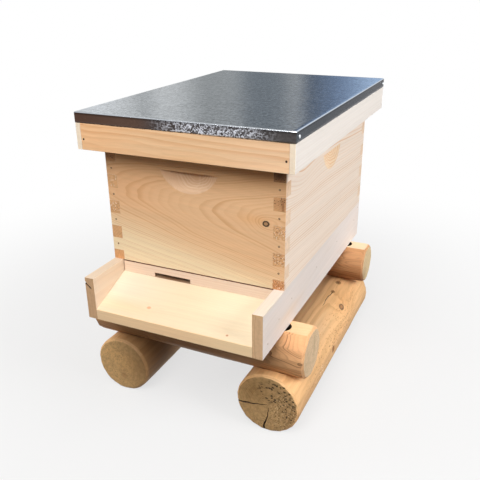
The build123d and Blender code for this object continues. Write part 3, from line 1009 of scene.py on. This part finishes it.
# A long log is planed off by the foot, thins by the taper, and has marks just before its front end.
FOOT = 2
TAPER = 2.4
END_TRIM = 0.4
BEFORE_END = -1
SADDLE_GAP = 0.3
SADDLE_REACH = 90
BOLT_FLANGE = 14
BOLT_HOLE = 6.3
COUNTERBORE = 17
COUNTERBORE_DEPTH = 25
crosslogs = {end: place_of(f"stand_crosslog_{end}") for end in ("front", "rear")}
cross_radius = {end: (high.y - low.y) / 2 for end, (low, high) in crosslogs.items()}
cross_y = {end: (low.y + high.y) / 2 for end, (low, high) in crosslogs.items()}
cross_level = {end: low.z + cross_radius[end] for end, (low, high) in crosslogs.items()}
bolt_low, bolt_high = place_of("stand_bolts")
bolt_x = (bolt_low.x + BOLT_FLANGE, bolt_high.x - BOLT_FLANGE)
bolt_y = {"front": bolt_low.y + BOLT_FLANGE, "rear": bolt_high.y - BOLT_FLANGE}


def saddle_cuts(x):
    through = (2 * SADDLE_REACH, 0, 0)
    return [
        rod((x - SADDLE_REACH, cross_y[end], cross_level[end]), cross_radius[end] + SADDLE_GAP, through, 120)
        for end in crosslogs
    ]


def bolt_cuts(end):
    seat = crosslogs[end][1].z - COUNTERBORE_DEPTH
    cuts = []
    for x in bolt_x:
        # The counterbore's walls are coloured with painted shade.
        cuts.append(rod((x, bolt_y[end], seat), COUNTERBORE, (0, 0, 60), 48, painted_split_shade_material))
        cuts.append(rod((x, bolt_y[end], seat + 1), BOLT_HOLE, (0, 0, -120), 24))
    return cuts


def long_log(side, seed, ease, dents=()):
    # The log, and the point on the ground below the middle of its front end.
    low, high = place_of(f"stand_log_{side}")
    middle, radius = (low.x + high.x) / 2, (high.x - low.x) / 2
    origin = Vector((middle, low.y, 0))
    log = Log(
        f"log_{side}", "y", (middle, radius - FOOT), (low.y + END_TRIM, high.y - END_TRIM), radius, seed,
        ease, taper=TAPER, dents=[(origin + Vector(centre), size, depth) for centre, size, depth in dents],
    )
    return log, origin


def on_end(*spots):
    # Places on the front end of a long log.
    return [(aside, BEFORE_END, up) for aside, up in spots]


def right_log_wood(big_knot, side_knot):
    return Wood(
        "y", (9, 52), 2.6, LOG, RIGHT_END, 41, figure=0.45, end_noise=0.7, tilt=(0.012, -0.008),
        **LONG_LOG_GRAIN,
        bends=[(big_knot, (30, 44, 30), (5, 5))],
        stains_and_painted_light=[
            ((29.9, 200.5, 112), (26, 70, 22), (0.8, 0.84, 0.96)),
            ((42.9, 371.5, 104), (22, 60, 22), (0.88, 0.8, 0.74)),
            # Painted light: the top beside the rail made paler where the hive shades it.
            ((-28.1, 296.5, 110), (30, 150, 24), (1.42, 1.58, 1.8)),
            # Painted shade: darker low on the right side.
            ((55.9, 256.5, 40), (22, None, 30), (0.86, 0.82, 0.8)),
            # Painted shade: the top left of the front end darkened.
            ((-28.1, BEFORE_END, 84), (36, 6, 32), (0.68, 0.62, 0.52)),
            (big_knot, (16, 24, 16), (1.1, 1.1, 1.1), 0.7),
        ],
        knots=[
            (big_knot, (7, 10.5, 7), LOG_KNOT, LOG_KNOT_RIM, 0.8),
            ((11.5, 367.2, 117.9), (5, 7, 5), LOG_KNOT_RIM, LOG_KNOT, 0.85),
            ((9.9, 416.5, 117), (7, 9, 5), LOG_KNOT_RIM, LOG_KNOT, 0.8),
            (side_knot, (6, 8, 8), LOG_KNOT_RIM, LOG_KNOT, 0.9),
        ],
        specks=[
            ((39.9, BEFORE_END, 48), (38, 3, 50), 2.8, colour(112, 82, 50), 0.6),
            ((39.9, BEFORE_END, 48), (34, 3, 46), 3, colour(220, 188, 140), 0.35),
            ((7.9, BEFORE_END, 16), (40, 3, 16), 2.8, colour(122, 91, 56), 0.45),
            ((23.9, BEFORE_END, 88), (44, 3, 26), 5.2, colour(58, 41, 24), 0.75, (1.3, 1, 0.9)),
            ((43.9, BEFORE_END, 62), (22, 3, 36), 3.8, colour(66, 47, 28), 0.5),
            ((58.9, 216.5, 70), (16, 160, 22), 2.2, colour(176, 124, 76), 0.3, (1, 3.5, 1)),
            ((44.9, 286.5, 95), (22, 170, 20), 1.8, colour(190, 136, 86), 0.25, (1, 5, 1)),
            ((61.9, 139, 62), (7, 12, 8), 3, colour(246, 222, 186), 0.6, (1, 2, 1)),
        ],
    )


def right_log_cracks(origin):
    across = on_end((-63.1, 49), (-28.3, 52.9), (0.3, 58.7))
    upward = on_end((-5, 1), (-6, 13.1), (1.5, 33.2), (3.2, 52.2))
    lengthwise = [(11.3, 362.5, 126), (8.7, 325.1, 126), (10, 292.8, 126)]
    cracks = [
        (across, 5.4, 1, (0, 30, 0), 2),
        (upward, 5.6, 1, (0, 34, 0), 5),
        (lengthwise, 2, 0.7, (0, 0, -19), 9),
    ]
    return [crack([origin + Vector(spot) for spot in path], *shape) for path, *shape in cracks]


def make_right_log():
    big_knot = (42.5, 332.7, 101.5)
    side_knot = (60.4, 220.8, 61.6)
    log, origin = long_log("right", 1, 2.8, [(side_knot, 7, 4), (big_knot, 13, -1)])
    wood = right_log_wood(big_knot, side_knot)
    log.piece("stand_log_right", wood, origin, saddle_cuts(origin.x) + right_log_cracks(origin))


def make_left_log():
    log, origin = long_log("left", 2, 3.2)
    wood = Wood(
        "y", (-5, 50), 2.6, LOG, LEFT_END, 42, figure=0.4, end_noise=0.55, tilt=(-0.01, 0.01),
        **LONG_LOG_GRAIN,
        stains_and_painted_light=[
            # Painted light: paler patches on the front end.
            ((13.2, BEFORE_END, 66), (26, 6, 24), (1.3, 1.27, 1.2), 0.85),
            ((-30.8, BEFORE_END, 82), (20, 6, 14), (1.2, 1.18, 1.14), 0.8),
            # Painted shade: the inner side darkened under the hive.
            ((57.2, 50, 76), (66, 110, 80), (0.2, 0.15, 0.1), 0.95),
            ((63.2, 330, 66), (46, 200, 66), (0.36, 0.32, 0.3), 0.95),
        ],
        knots=[((1.3, BEFORE_END, 32.2), (8, None, 6), LOG_KNOT, RIGHT_END[1], 0.45)],
        specks=[((-9.8, BEFORE_END, 60), (60, 6, 60), 2, colour(148, 116, 76), 0.25)],
    )
    log.piece("stand_log_left", wood, origin, saddle_cuts(origin.x))


# Places on a cross log are measured from the middle of its right end.
CROSSLOG_WOODS = {
    "front": dict(
        pith=(6, -6), ring=1.2, tones=tones((234, 180, 130), (132, 82, 46)),
        end_tones=tones((227, 196, 157), (176, 142, 104)), seed=46, figure=0.85, wander=2.4,
        tilt=(0.02, 0.012),
        bends=[((4.8, -25.5, 47.5), (52, 46, 42), (-9, 9))],
        knots=[((-6.2, -49, 2.5), (5, 5, 3.2), LOG_KNOT, LOG_KNOT_RIM, 0.6)],
        stains_and_painted_light=[
            ((-20.2, -37.5, 33.5), (26, 26, 16), (1.05, 0.97, 0.93)),
            ((0.8, 12.6, 7.5), (4, 5, 26), (0.7, 0.66, 0.6), 0.7),
            # Painted shade: the lower front darkened under the landing.
            ((-263.2, -47.5, -18.5), (200, 46, 52), (0.26, 0.18, 0.07), 0.95),
        ],
    ),
    "rear": dict(
        pith=(14, -4), ring=1.1, tones=tones((214, 158, 110), (112, 66, 38)),
        end_tones=tones((230, 202, 156), (212, 180, 134)), seed=47, figure=0.95, wander=3.6,
        tilt=(0.016, 0.01),
        bends=[((-23.2, -42.3, 8.5), (70, 30, 16), (5, -5))],
        # Painted shade: the lower front side darkened.
        stains_and_painted_light=[((-23.2, -39.3, -28.5), (None, 32, 26), (0.46, 0.38, 0.32), 0.95)],
    ),
}


def make_crosslog(end):
    low, high = crosslogs[end]
    radius, y, level = cross_radius[end], cross_y[end], cross_level[end]
    looks = CROSSLOG_WOODS[end]
    log = Log(
        f"crosslog_{end}", "x", (y, level), (low.x, high.x), radius, looks["seed"], 2.8,
        strokes=8, flats=15, top=high.z, turns=120,
    )
    top = high.z - level
    flat = ((low.x - high.x - 1, -radius, top - 0.6), (1, radius, top + 1), PLANED[end])
    wood = Wood("x", line=0.5, grain_depth=1.6, end_noise=0.4, fresh=[flat], **LOG_GRAIN, **looks)
    log.piece(f"stand_crosslog_{end}", wood, (high.x, y, level), bolt_cuts(end))


make_right_log()
make_left_log()
for end in crosslogs:
    make_crosslog(end)

# Metal

ROOF_COLUMNS, ROOF_ROWS, FLANGE_ROWS = 52, 76, 4
FOLD_RADIUS = 2
SHEET_SHOWN = 0.45


def steel(name, tone, stain, roughness):
    material, g, shader = new_material(name)
    cloud = g.cloud(0.6, 3)
    g.join(g.mix(g.step(cloud, 0.42, 0.68), tone, stain), shader.inputs["Base Color"])
    g.join(g.step(cloud, 0.3, 0.7, roughness - 0.1, roughness + 0.15), shader.inputs["Roughness"])
    shader.inputs["Metallic"].default_value = 1
    return material


def paint(node, material):
    nodes[node].data.materials.clear()
    nodes[node].data.materials.append(material)


paint("cover_nails", steel("dark_wire_nail", colour(92, 72, 58), colour(54, 40, 32), 0.55))
paint("box_nails", steel("dull_wire_nail", colour(164, 132, 104), colour(104, 80, 60), 0.55))
paint("bottom_nails", steel("clean_wire_nail", colour(214, 200, 188), colour(184, 166, 150), 0.5))
paint("stand_bolts", steel("zinc_plated_bolt", colour(128, 126, 120), colour(84, 72, 58), 0.45))
paint("roof_nails", steel("bright_roof_nail", colour(228, 232, 236), colour(196, 202, 208), 0.3))

roof_low, roof_high = place_of("roof_sheet")
roof_size = roof_high - roof_low


def roof_grid(made):
    # The top, and the flange below its four edges, in rows.
    middle = (roof_low + roof_high) / 2
    middle.z = roof_high.z
    stretch = Matrix.Diagonal((roof_size.x / 2 * MM, roof_size.y / 2 * MM, 1, 1))
    place = Matrix.Translation(middle * MM) @ stretch
    bmesh.ops.create_grid(made, x_segments=ROOF_COLUMNS, y_segments=ROOF_ROWS, size=1, matrix=place)
    for _ in range(FLANGE_ROWS):
        edges = [edge for edge in made.edges if edge.is_boundary]
        grown = bmesh.ops.extrude_edge_only(made, edges=edges)["geom"]
        points = [piece for piece in grown if isinstance(piece, bmesh.types.BMVert)]
        bmesh.ops.translate(made, verts=points, vec=(0, 0, -roof_size.z / FLANGE_ROWS * MM))


def roof_mesh():
    # A sheet folded down over four edges, with rounded folds and a slightly uneven surface.
    made = bmesh.new()
    roof_grid(made)
    bmesh.ops.recalc_face_normals(made, faces=made.faces)
    folds = [e for e in made.edges if len(e.link_faces) == 2 and e.calc_face_angle() > 1]
    bmesh.ops.bevel(made, geom=folds, offset=FOLD_RADIUS * MM, segments=4, profile=0.5, affect="EDGES")
    for v in made.verts:
        place = v.co / MM
        rim = min(place.x - roof_low.x, roof_high.x - place.x, place.y - roof_low.y, roof_high.y - place.y)
        if rim > 4:
            v.co.z -= 0.28 * MM * abs(noise.noise((place.x / 70, place.y / 90, 4)))
        if place.z < roof_low.z + 0.1:
            v.co.z += 0.5 * MM * abs(noise.noise((place.x / 60, place.y / 60, 9)))
    return finished(made, "roof")


def roof_top_tone(g, crystal):
    grains = g.times(g.minus(g.cloud(0.17), 0.5), 1.7)
    brushed = g.noise(g.vector("MULTIPLY", g.place, (0.022, 0.22, 1)), 3)["Fac"]
    uneven = g.plus(grains, g.times(g.minus(brushed, 0.5), 0.7))
    uneven = g.times_plus(crystal, 0.32, uneven)
    return g.scaled(colour(190, 193, 196)[:3], g.plus(uneven, 1))


def end_flange_tone(g, x, crystal):
    # Painted reflection: the flange dull brown, then grey, with a brighter frosted stretch right of the
    # middle as painted sheen, over the spangle.
    tone = g.ramp(x, 0, 406, [
        (0, colour(84, 62, 52)), (120, colour(92, 72, 62)), (170, colour(78, 70, 68)),
        (300, colour(82, 78, 78)), (350, colour(80, 76, 75)),
    ])
    bright = g.times(g.step(x, 140, 230), g.step(x, 385, 310))
    bright = g.times(bright, g.step(crystal, -0.22, 0.3))
    tone = g.mix(bright, tone, colour(200, 202, 210))
    return g.scaled(tone, g.times_plus(crystal, g.step(x, 80, 180, 0.1, 0.45), 1))


def side_flange_tone(g, y, crystal):
    # Painted reflection: the side flange grows darker towards the rear, over the spangle.
    tone = g.ramp(y, 0, 584, [
        (0, colour(84, 89, 92)), (144, colour(70, 75, 78)), (384, colour(54, 59, 62)),
        (584, colour(42, 46, 50)),
    ])
    return g.scaled(tone, g.times_plus(crystal, 0.24, 1))


def galvanised():
    material, g, shader = new_material("galvanised_sheet")
    x, y, z = g.split(g.vector("SUBTRACT", g.place, roof_low))
    nx, _, nz = g.facing
    loose = g.vector("ADD", g.place, g.scaled(g.noise(g.scaled(g.place, 0.5))["Color"], 3))
    lot = g.split(g.cells(loose, 0.44)["Color"])[0]
    crystal = g.plus(g.minus(lot, 0.5), g.times_plus(g.cloud(0.8), 0.8, -0.4))
    sideways = g.step(g.math("ABSOLUTE", nx), 0.75, 0.9)
    flange = g.mix(sideways, end_flange_tone(g, x, crystal), side_flange_tone(g, y, crystal))
    # Painted shade: a darker band just under the fold.
    flange = g.scaled(flange, g.step(z, roof_size.z - 6.5, roof_size.z - 2.5, 1, 0.55))
    tone = g.mix(g.step(nz, 0.9, 0.985), flange, roof_top_tone(g, crystal))
    # Painted highlight: a pale line on the rounded folds.
    fold = g.times(g.step(nz, 0.12, 0.4), g.step(nz, 0.985, 0.93))
    tone = g.mix(g.times(fold, 0.85), tone, colour(228, 234, 242))
    g.join(tone, shader.inputs["Base Color"])
    g.join(g.mix(sideways, FULL, (0.6, 0.6, 0.62, 1)), shader.inputs["Specular Tint"])
    g.join(g.step(lot, 0, 1, 0.1, 0.2), shader.inputs["Roughness"])
    shader.inputs["Metallic"].default_value = 1
    g.bump(shader, 0.22, 0.0002, crystal)
    return material


def make_roof():
    roof = as_object("roof_metal", roof_mesh())
    skin = roof.modifiers.new("skin", "SOLIDIFY")
    skin.thickness = SHEET_SHOWN * MM
    skin.offset = -1
    smooth_by_angle(roof.data, 40)
    roof.data.materials.append(galvanised())
    stand_for(roof, "roof_sheet")


make_roof()

# Light, floor and camera, with their places in metres

scene = bpy.context.scene
scene.view_settings.view_transform = "Standard"
LIGHT_AIM = Vector((0, 0, 0.3))
WARM_LIGHT = (1, 0.985, 0.965)
COOL_LIGHT = (0.985, 0.99, 1)
FILL_LIGHT = (1, 0.99, 0.98)


def way_from(azimuth, elevation):
    # Both in radians: the azimuth to the right of the hive's front, and the elevation above the ground.
    level = math.cos(elevation)
    return Vector((math.sin(azimuth) * level, -math.cos(azimuth) * level, math.sin(elevation)))


def area_light(name, azimuth, elevation, distance, size, power, tint, mirrored):
    light = bpy.data.lights.new(name, "AREA")
    light.shape = "DISK"
    light.size = size
    light.energy = power
    light.color = tint
    lamp = as_object(name, light)
    way = way_from(math.radians(azimuth), math.radians(elevation))
    lamp.location = LIGHT_AIM + way * distance
    lamp.rotation_euler = way.to_track_quat("Z", "Y").to_euler()
    lamp.visible_glossy = mirrored


area_light("front_lamp", 6, 45, 3, 2, 81, WARM_LIGHT, True)
area_light("right_lamp", 84, 26, 3, 1.8, 72, COOL_LIGHT, True)
area_light("left_lamp", -88, 9, 3.2, 2.2, 56, FILL_LIGHT, False)
area_light("rear_lamp", 172, 9, 3.2, 2.2, 56, FILL_LIGHT, False)

# Tones of the studio panels that stand round the hive, and where they stand: degrees left of straight back
PLAIN_PANEL = (0.55, 0.55, 0.55)
BLUE_PANEL = (0.46, 0.62, 0.87)
DUSK_PANEL = (0.2, 0.28, 0.43)
DARK_PANEL = (0.1, 0.13, 0.18)
SLATE_PANEL = (0.2, 0.23, 0.26)
STONE_PANEL = (0.34, 0.36, 0.37)
GREY_PANEL = (0.44, 0.46, 0.47)
PALE_PANEL = (0.74, 0.76, 0.77)
WHITE_PANEL = (0.88, 0.91, 0.94)
PANELS = [
    (-60, PLAIN_PANEL), (-34, WHITE_PANEL), (-4, WHITE_PANEL), (12.5, BLUE_PANEL), (15.3, DUSK_PANEL),
    (18.5, DARK_PANEL), (19.4, GREY_PANEL), (21.4, SLATE_PANEL), (24.4, SLATE_PANEL), (25.7, GREY_PANEL),
    (27.6, STONE_PANEL), (32, PALE_PANEL), (34, GREY_PANEL), (35.6, PALE_PANEL), (38, WHITE_PANEL),
    (50, PLAIN_PANEL),
]


def seen_directly(g):
    ray = g.add("ShaderNodeLightPath").outputs
    seen = g.math("MAXIMUM", ray["Is Camera Ray"], ray["Is Glossy Ray"])
    return g.math("MAXIMUM", seen, ray["Is Transmission Ray"])


def make_world():
    # A dim dome that looks white; gloss mirrors the panels, and a pale ceiling above them.
    world = bpy.data.worlds.new("studio")
    world.use_nodes = True
    scene.world = world
    g = Graph(world.node_tree)
    across, along, sky = g.split(g.add("ShaderNodeTexCoord").outputs["Generated"])
    dome = g.mix(g.step(sky, 0, 1), grey(0.02), grey(0.06))
    shown = g.mix(seen_directly(g), dome, FULL)
    turn = g.math("DEGREES", g.math("ARCTAN2", g.times(across, -1), along))
    panels = g.ramp(turn, -180, 180, [(spot, (*tone, 1)) for spot, tone in PANELS])
    mirrored = g.mix(g.step(sky, 0.3, 0.7), panels, grey(0.8))
    shown = g.mix(g.add("ShaderNodeLightPath").outputs["Is Glossy Ray"], shown, mirrored)
    g.join(shown, world.node_tree.nodes["Background"].inputs["Color"])


def floor_material():
    # A pale floor that keeps the hive's shadow and fades to white, and throws little light back up.
    material, g, shader = new_material("floor")
    shader.inputs["Base Color"].default_value = (0.09, 0.089, 0.087, 1)
    shader.inputs["Roughness"].default_value = 0.9
    shader.inputs["Specular IOR Level"].default_value = 0
    pale = g.add("ShaderNodeBsdfDiffuse", {"Color": grey(0.6)})
    glow = g.add("ShaderNodeEmission", {"Color": FULL, "Strength": 1})
    away = g.vector("LENGTH", g.add("ShaderNodeTexCoord").outputs["Object"])
    far = g.step(away, 0.3, 1.3, 0.68, 1)
    backdrop = g.add("ShaderNodeMixShader", {0: far, 1: pale.outputs[0], 2: glow.outputs[0]})
    both = g.add("ShaderNodeMixShader", {0: seen_directly(g), 1: shader.outputs[0], 2: backdrop.outputs[0]})
    g.join(both.outputs[0], material.node_tree.nodes["Material Output"].inputs["Surface"])
    return material


def make_floor():
    half = 400
    corners = [(-half, -half, 0), (half, -half, 0), (half, half, 0), (-half, half, 0)]
    mesh = bpy.data.meshes.new("floor")
    mesh.from_pydata(corners, [], [(0, 1, 2, 3)])
    floor = as_object("floor", mesh)
    mesh.materials.append(floor_material())


def make_camera():
    # Fitted to the corners of the box and the cover in the photograph.
    place = (0.49668, -1.08706, 0.7637)
    azimuth, elevation, roll = (math.radians(d) for d in (24.833, 23.018, -0.532))
    lens = bpy.data.cameras.new("camera")
    lens.sensor_width = 36
    lens.lens = 45.26
    lens.shift_x = -0.0033
    lens.shift_y = 0.0022
    camera = as_object("camera", lens)
    back = way_from(azimuth, elevation)
    right = Vector((math.cos(azimuth), math.sin(azimuth), 0))
    up = back.cross(right)
    turned_right = right * math.cos(roll) + up * math.sin(roll)
    turned_up = up * math.cos(roll) - right * math.sin(roll)
    axes = Matrix((turned_right, turned_up, back)).transposed().to_4x4()
    camera.matrix_world = Matrix.Translation(place) @ axes
    scene.camera = camera


make_world()
make_floor()
make_camera()
